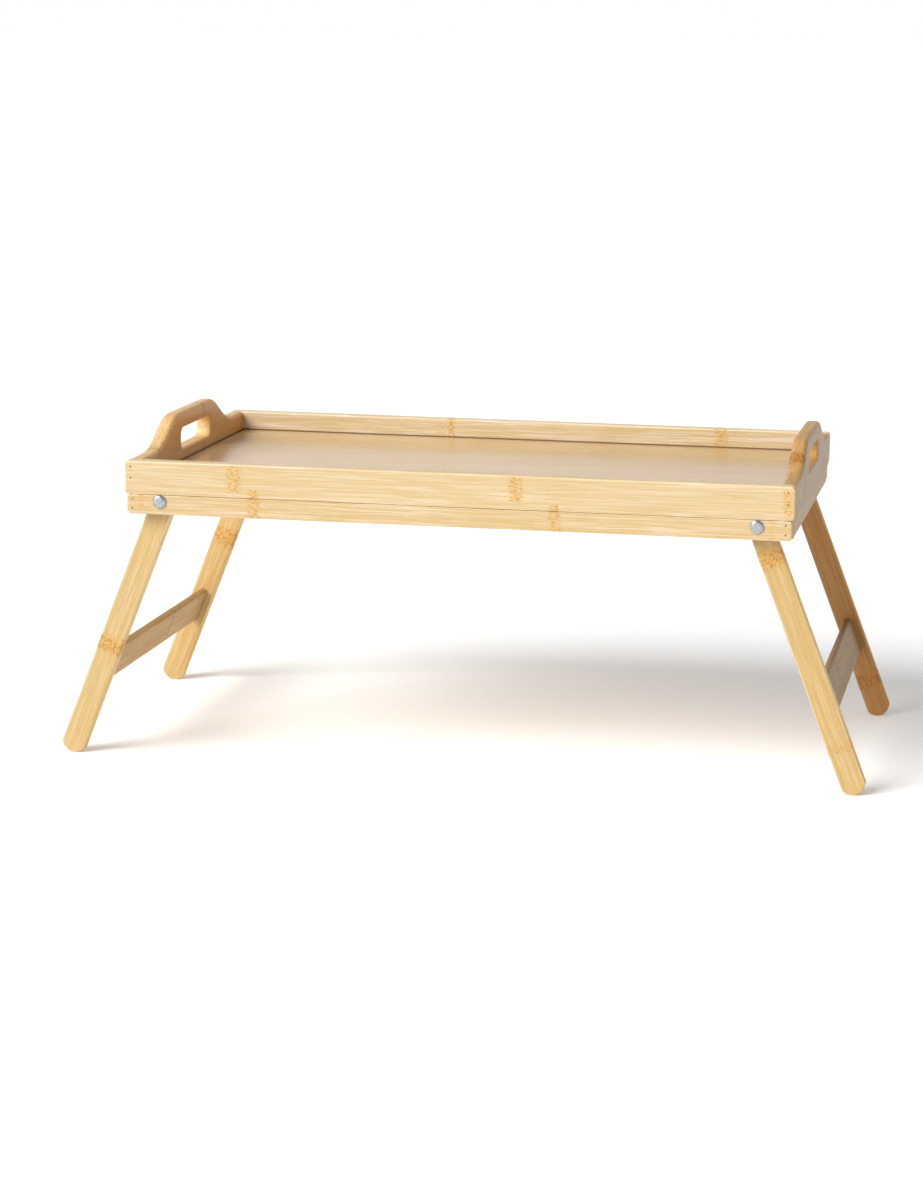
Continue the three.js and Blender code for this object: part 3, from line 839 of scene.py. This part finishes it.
class TRAY_OT_handle_boards(bpy.types.Operator):
    """Builds the two end boards with their raised handles and hand holes"""
    bl_idname = "tray.handle_boards"
    bl_label = "Handle Boards"

    def execute(self, context):
        thickness = BOARD_HIGH.x - BOARD_LOW.x
        edge, hole = handle_loops()
        board = outline("handle.right", thickness, 0, 1, [edge])
        grip = outline("grip", thickness * 2, 0, 1, [hole])
        middle = (BOARD_LOW.x + BOARD_HIGH.x) / 2
        stand = Matrix(((0, 0, 1, middle), (1, 0, 0, 0), (0, 1, 0, SEAM), (0, 0, 0, 1)))
        for piece in (board, grip):
            piece.data.transform(stand)
            edit_all(piece)
            bpy.ops.mesh.remove_doubles(threshold=1e-6)
            bpy.ops.mesh.dissolve_limited(angle_limit=math.radians(0.5))
            bpy.ops.mesh.normals_make_consistent(inside=False)
            leave()
        faces = (BOARD_LOW.x, BOARD_HIGH.x)
        round_edges(board, shape().board_ease, 7, lambda edge: lies_at(edge, 0, *faces)
                    and all(corner.co.z > RAIL_TOP - 0.01 * MM for corner in edge.verts))
        carve(board, grip)
        margin = 0.1 * MM
        reach = shape().grip_half + margin
        floor, roof = RAIL_TOP + GRIP_BOTTOM - margin, RAIL_TOP + GRIP_TOP + margin
        round_edges(board, shape().grip_ease, 5, lambda edge: lies_at(edge, 0, *faces)
                    and edge.calc_face_angle(0) > SHARP
                    and all(abs(corner.co.y) < reach and floor < corner.co.z < roof
                            for corner in edge.verts))
        carve(board, block("groove", (0, -RAIL_FACE, PANEL_LOW.z - GAP),
                           (PANEL_HIGH.x + GAP, RAIL_FACE, TONGUE_TOP + GAP)))
        for _, side in SIDES:
            carve(board, *pin_bores(1, side, UPPER_PINS))
        tidy(board)
        other = twin(board, "handle.left", mirrored(0), flip=True)
        knots = {"left": [(-98, 2.6, 0.5, -1, 50), (22, 3.0, 0.8, -1, 50)],
                 "right": [(-75, 6.0, 1.0, -1, 50), (96, 2.8, 0.6, -1, 50)]}
        for piece, (end_name, end) in ((board, ENDS[1]), (other, ENDS[0])):
            # The board colour is painted shade on the broad faces, and the rim colour goes on the
            # rest.
            tone = tuple(getattr(colours(), f"{end_name}_board"))
            rim = tuple(getattr(colours(), f"{end_name}_rim"))
            finish(piece, bamboo(f"Bamboo {end_name} board", tone, GRAIN_Y,
                                 (end * BOARD_HIGH.x, 0, SEAM), 11.0 + end, knots[end_name],
                                 rim=rim, joint=True),
                   "tray", "board_bamboo", f"{end_name}_handle_board")
        return {"FINISHED"}


class TRAY_OT_panel(bpy.types.Operator):
    """Builds the serving panel with its thinner edge in the grooves"""
    bl_idname = "tray.panel"
    bl_label = "Serving Panel"

    def execute(self, context):
        low, high = PANEL_LOW, PANEL_HIGH
        panel = block("panel.serving", low, Vector((high.x, high.y, TONGUE_TOP)))
        pick(panel, "FACE", lambda face: face.normal.z > 0.9)
        bpy.ops.mesh.inset(thickness=high.y - (RAIL_INNER - PANEL_MARGIN))
        bpy.ops.mesh.extrude_region_move(TRANSFORM_OT_translate={"value": (0, 0, PANEL_STEP)})
        leave()
        round_edges(panel, 0.2 * MM, 2, lambda edge: lies_at(edge, 2, high.z))
        tidy(panel)
        finish(panel, veneer("Panel veneer", tuple(colours().panel_light)), "tray",
               "panel_bamboo", "tray_panel")
        return {"FINISHED"}


class TRAY_OT_end_rails(bpy.types.Operator):
    """Builds the two short rails of the lower frame, which stop the legs"""
    bl_idname = "tray.end_rails"
    bl_label = "Lower End Rails"

    def execute(self, context):
        rail = block("rail.end.right", END_LOW, END_HIGH)
        round_edges(rail, MM, 4, lambda edge: runs_along(edge, 1))
        for _, side in SIDES:
            carve(rail, *pin_bores(1, side, LOWER_PINS))
        tidy(rail)
        other = twin(rail, "rail.end.left", mirrored(0), flip=True)
        light = tuple(colours().end_light)
        for piece, (end_name, end) in ((rail, ENDS[1]), (other, ENDS[0])):
            # Painted shade: the right end rail is a darker, cooler copy of the end rail colour,
            # as it faces away from the key light.
            tone = light if end < 0 else shade(light, 0.66, -0.10)
            finish(piece, bamboo(f"Bamboo {end_name} end rail", tone, GRAIN_Y,
                                 (end * END_HIGH.x, 0, END_LOW.z), 15.0 + end,
                                 [(40 * end, 2.8, 0.7, -1, 16)]),
                   "tray", "board_bamboo", f"{end_name}_lower_end_rail")
        return {"FINISHED"}


class TRAY_OT_pins(bpy.types.Operator):
    """Builds the fixing pins at the corners of both frames"""
    bl_idname = "tray.pins"
    bl_label = "Fixing Pins"

    def execute(self, context):
        metal = pin_metal("Pin steel", tuple(colours().pin))
        for level, pins in (("upper", UPPER_PINS), ("lower", LOWER_PINS)):
            for number, (low, high) in enumerate(pins, 1):
                middle = (low + high) / 2
                pin = rod(f"pin.front.right.{level}.{number}", PIN_RADIUS,
                          (middle.x, low.y, middle.z), (middle.x, high.y, middle.z), sides=16)
                round_edges(pin, 0.12 * MM, 2, lambda edge, y=low.y: lies_at(edge, 1, y))
                tidy(pin)
                for side_name, side in SIDES:
                    for end_name, end in ENDS:
                        piece = pin
                        if side > 0 or end < 0:
                            place = Matrix.Diagonal((end, -side, 1, 1))
                            piece = twin(pin, f"pin.{side_name}.{end_name}.{level}.{number}",
                                         place, flip=end * -side < 0)
                        finish(piece, metal, "tray", "pin_steel",
                               f"{side_name}_{end_name}_{level}_pin_{number}")
        return {"FINISHED"}


def hung(end):
    """Turns a piece that hangs straight down at the origin into its place on a leg frame."""
    turn = Matrix.Rotation(-end * SPLAY, 4, "Y")
    return Matrix.Translation((end * PIVOT.x, 0, PIVOT.z)) @ turn


def leg_grain(end):
    """Turns the leg's length onto local X and its width onto local Y."""
    along = hung(end).to_3x3() @ Vector((0, 0, -1))
    across = hung(end).to_3x3() @ Vector((1, 0, 0))
    return Matrix((along, across, along.cross(across)))


class TRAY_OT_legs(bpy.types.Operator):
    """Builds the four legs with their round tops and feet"""
    bl_idname = "tray.legs"
    bl_label = "Legs"

    def execute(self, context):
        half = shape().leg_width / 2
        tip = math.asin(half / FOOT_RADIUS)
        down = -math.pi / 2
        foot = arc_points((0, FOOT_RADIUS - LEG_REACH), FOOT_RADIUS, down - tip, down + tip, 2)
        head = arc_points((0, 0), half, 0, math.pi, 2)
        leg = outline("leg.pattern", LEG_THICK, shape().rail_ease, shape().bevel_steps,
                      [foot + head])
        leg.data.transform(Matrix(((1, 0, 0, 0), (0, 0, -1, -LEG_Y + LEG_THICK / 2), (0, 1, 0, 0),
                                   (0, 0, 0, 1))))
        inner = LEG_THICK - LEG_Y
        carve(leg, rod("bore", BOLT_BORE, (0, -LEG_Y - MM, 0), (0, inner + MM, 0), sides=40))
        carve(leg, block("mortise", (-TENON.x / 2 - GAP, inner - TENON.y - GAP,
                                     -BAR_DROP - TENON.z / 2 - GAP),
                         (TENON.x / 2 + GAP, inner + MM, -BAR_DROP + TENON.z / 2 + GAP)))
        tidy(leg)
        light = tuple(colours().leg_light)
        knots = {"left_front": [(122, 6.5, 1.0, -10, 10)], "left_back": [(80, 8.0, 1.0, -10, 10)],
                 "right_front": [(27, 8.0, 1.0, -10, 10), (176, 4.0, 0.35, -10, 10)],
                 "right_back": [(182, 6.5, 1.0, -10, 10)]}
        # Painted shadow: the right back leg's colour is the dark orange-brown of its face in the
        # tray's shade; the other two legs get small changes of tone.
        tones_and_shade = {"right_back": (0.550, 0.285, 0.090), "left_back": shade(light, 0.94, 0.10),
                 "right_front": shade(light, 0.93, 0.06)}
        seed = 20.0
        for end_name, end in ENDS:
            for side_name, side in SIDES:
                place = hung(end) @ (mirrored(1) if side > 0 else Matrix.Identity(4))
                name = f"{end_name}_{side_name}"
                piece = twin(leg, f"leg.{end_name}.{side_name}", place, flip=side > 0)
                seed += 3.7
                tone = tones_and_shade.get(name, light)
                finish(piece, bamboo(f"Bamboo {end_name} {side_name} leg", tone, leg_grain(end),
                                     (end * PIVOT.x, side * LEG_Y, PIVOT.z), seed, knots[name],
                                     layer=5.0, contrast=1.5),
                       f"{end_name}_leg_frame", "leg_bamboo", f"{name}_leg")
        bpy.data.objects.remove(leg)
        return {"FINISHED"}


class TRAY_OT_stretchers(bpy.types.Operator):
    """Builds the two flat bars that join each pair of legs"""
    bl_idname = "tray.stretchers"
    bl_label = "Stretchers"

    def execute(self, context):
        shoulder = LEG_Y - LEG_THICK - GAP
        half = Vector((BAR_THICK, 0, BAR_WIDTH)) / 2
        bar = block("stretcher.pattern", (-half.x, -shoulder, -BAR_DROP - half.z),
                    (half.x, shoulder, -BAR_DROP + half.z))
        round_edges(bar, BAR_CORNER, 5, lambda edge: runs_along(edge, 1))
        for _, side in SIDES:
            pick(bar, "FACE", lambda face, side=side: face.normal.y * side > 0.9)
            bpy.ops.mesh.inset(thickness=BAR_SHOULDER)
            bpy.ops.mesh.extrude_region_move(
                TRANSFORM_OT_translate={"value": (0, side * TENON.y, 0)})
            share = (TENON.x / (BAR_THICK - 2 * BAR_SHOULDER), 1,
                     TENON.z / (BAR_WIDTH - 2 * BAR_SHOULDER))
            bpy.ops.transform.resize(value=share)
            leave()
        tidy(bar)
        light = tuple(colours().bar_light)
        for end_name, end in ENDS:
            piece = twin(bar, f"stretcher.{end_name}", hung(end))
            along = Vector((0, 1, 0))
            across = hung(end).to_3x3() @ Vector((0, 0, 1))
            grain = Matrix((along, across, along.cross(across)))
            middle = hung(end) @ Vector((0, 0, -BAR_DROP))
            # Painted shade: the right stretcher is a darker copy of the stretcher colour, as it
            # sits in shade away from the key light.
            tone = light if end < 0 else shade(light, 0.60, 0.22)
            finish(piece, bamboo(f"Bamboo {end_name} stretcher", tone, grain, middle,
                                 40.0 + end, [(-34 * end, 2.6, 0.5, -15, 15)], layer=7.0,
                                 gloss=0.4),
                   f"{end_name}_leg_frame", "leg_bamboo", f"{end_name}_stretcher")
        bpy.data.objects.remove(bar)
        return {"FINISHED"}


def lathe(name, profile, steps):
    """Spins a profile of (radius, y) points round the Y axis."""
    only()
    bpy.ops.mesh.primitive_plane_add(size=1, location=(0, 0, 0))
    piece = bpy.context.object
    piece.name = name
    mesh = bmesh.new()
    corners = [mesh.verts.new((radius, y, 0)) for radius, y in profile]
    for first, second in zip(corners, corners[1:]):
        mesh.edges.new((first, second))
    mesh.to_mesh(piece.data)
    mesh.free()
    edit_all(piece)
    bpy.ops.mesh.spin(steps=steps, dupli=False, angle=2 * math.pi, center=(0, 0, 0),
                      axis=(0, 1, 0))
    leave()
    return piece


class TRAY_OT_pivots(bpy.types.Operator):
    """Builds the four pivot bolts with their washers and lock nuts"""
    bl_idname = "tray.pivots"
    bl_label = "Pivot Bolts"

    def execute(self, context):
        metal = plated("Zinc plated steel", tuple(colours().steel))
        head = -BOLT_LOW.y
        tail = -BOLT_HIGH.y
        shank = SHANK_RADIUS
        profile = [(out * MM, head - drop * MM) for out, drop in HEAD_PROFILE]
        place = -NUT_LOW.y - THREAD_INSIDE
        profile.append((shank, place))
        while place > tail + 1.2 * MM:
            profile += [(shank - THREAD_DEPTH, place - THREAD_PITCH * 0.4),
                        (shank, place - THREAD_PITCH)]
            place -= THREAD_PITCH
        profile += [(shank - 0.5 * MM, tail), (0, tail)]
        bolt = lathe("bolt.pattern", [(radius, -y) for radius, y in profile], 40)
        nut_half = (NUT_HIGH.x - NUT_LOW.x) / 2
        nut = rod("nut.pattern", nut_half, (0, NUT_LOW.y, 0), (0, NUT_HIGH.y, 0), sides=6)
        edit_all(nut)
        bpy.ops.transform.rotate(value=math.pi / 6, orient_axis="Y", orient_type="GLOBAL",
                                 center_override=(0, 0, 0))
        leave()
        pick(nut, "FACE", lambda face: abs(face.normal.y) > 0.9)
        leave()
        round_edges(nut, 0.45 * MM, 2, lambda edge: lies_at(edge, 1, NUT_LOW.y, NUT_HIGH.y))
        carve(nut, rod("bore", shank + 0.12 * MM, (0, NUT_LOW.y - MM, 0),
                       (0, NUT_HIGH.y + MM, 0), sides=32))
        rings = []
        for kind, low, high in (("spacer", SPACER_LOW, SPACER_HIGH),
                                ("inner", INNER_LOW, INNER_HIGH)):
            outer, hole, ease = (high.x - low.x) / 2, shank + GAP, 0.15 * MM
            ring = lathe(f"washer.{kind}.pattern",
                         [(hole, low.y), (outer - ease, low.y), (outer, low.y + ease),
                          (outer, high.y - ease), (outer - ease, high.y), (hole, high.y),
                          (hole, low.y)], 40)
            rings.append((kind, ring))
        patterns = [("bolt", "pivot_bolt", bolt), ("nut", "lock_nut", nut)]
        patterns += [(f"washer.{kind}", f"{kind}_washer", ring) for kind, ring in rings]
        for kind, node, pattern in patterns:
            tidy(pattern, 50)
            for end_name, end in ENDS:
                for side_name, side in SIDES:
                    place = Matrix.Translation((end * PIVOT.x, 0, PIVOT.z))
                    if side > 0:
                        place = place @ Matrix.Rotation(math.pi, 4, "Z")
                    piece = twin(pattern, f"{kind}.{end_name}.{side_name}", place)
                    finish(piece, metal, "tray", "zinc_steel", f"{end_name}_{side_name}_{node}")
            bpy.data.objects.remove(pattern)
        return {"FINISHED"}


class TRAY_OT_stage(bpy.types.Operator):
    """Lays the floor and sets the light and the camera"""
    bl_idname = "tray.stage"
    bl_label = "Stage"

    def execute(self, context):
        scene = context.scene
        studio = scene.studio_light
        only()
        bpy.ops.mesh.primitive_plane_add(size=80, location=(0, 0, 0))
        floor = context.object
        floor.name = "floor"
        floor.data.materials.append(paper_floor("Floor paper"))

        world = bpy.data.worlds.new("Studio")
        world.use_nodes = True
        scene.world = world
        sky = Nodes(world.node_tree)
        height = sky.split(sky.node("ShaderNodeTexCoord"))[2]
        glow = height.band(*HORIZON_FADE, 1.0, studio.sky)
        background = sky.tree.nodes["Background"]
        background.inputs["Color"].default_value = (1, 1, 1, 1)
        sky.tree.links.new(glow.socket, background.inputs["Strength"])

        only()
        toward = LIGHT_FROM.normalized()
        bpy.ops.object.light_add(type="SUN", location=toward * 3,
                                 rotation=toward.to_track_quat("Z", "Y").to_euler())
        key = context.object
        key.name = "key light"
        key.data.energy = studio.key
        key.data.angle = LIGHT_SPREAD
        key.data.color = (1.0, 0.995, 0.99)

        only()
        turn = Matrix(CAMERA_AXES).transposed().to_euler()
        bpy.ops.object.camera_add(location=CAMERA_PLACE, rotation=turn)
        camera = context.object
        camera.name = "camera"
        camera.data.sensor_fit = "AUTO"
        camera.data.sensor_width = 36
        camera.data.lens = studio.lens
        camera.data.shift_x = CAMERA_SHIFT
        camera.data.clip_end = 200
        scene.camera = camera
        scene.view_settings.view_transform = "Standard"
        return {"FINISHED"}


class TRAY_PT_sidebar(bpy.types.Panel):
    """Lists the steps that build the tray"""
    bl_label = "Bamboo Tray"
    bl_idname = "TRAY_PT_sidebar"
    bl_space_type = "VIEW_3D"
    bl_region_type = "UI"
    bl_category = "Bamboo Tray"

    def draw(self, context):
        layout = self.layout
        for group_name, _ in GROUPS:
            group = getattr(context.scene, group_name)
            box = layout.box()
            for name in group.bl_rna.properties.keys():
                if name not in ("rna_type", "name"):
                    box.prop(group, name)
        for operator in OPERATORS:
            layout.operator(operator.bl_idname)


GROUPS = (("tray_shape", TrayShape), ("tray_finish", TrayFinish), ("studio_light", StudioLight))
OPERATORS = (TRAY_OT_upper_rails, TRAY_OT_lower_rails, TRAY_OT_handle_boards, TRAY_OT_panel,
             TRAY_OT_end_rails, TRAY_OT_pins, TRAY_OT_legs, TRAY_OT_stretchers, TRAY_OT_pivots,
             TRAY_OT_stage)


def register():
    for name, group in GROUPS:
        bpy.utils.register_class(group)
        setattr(bpy.types.Scene, name, bpy.props.PointerProperty(type=group))
    for one in (*OPERATORS, TRAY_PT_sidebar):
        bpy.utils.register_class(one)


def unregister():
    for one in reversed((*OPERATORS, TRAY_PT_sidebar)):
        bpy.utils.unregister_class(one)
    for name, group in reversed(GROUPS):
        delattr(bpy.types.Scene, name)
        bpy.utils.unregister_class(group)


def main():
    register()
    only()
    bpy.ops.tray.upper_rails()
    bpy.ops.tray.lower_rails()
    bpy.ops.tray.handle_boards()
    bpy.ops.tray.panel()
    bpy.ops.tray.end_rails()
    bpy.ops.tray.pins()
    bpy.ops.tray.legs()
    bpy.ops.tray.stretchers()
    bpy.ops.tray.pivots()
    bpy.ops.tray.stage()


if __name__ == "__main__":
    main()
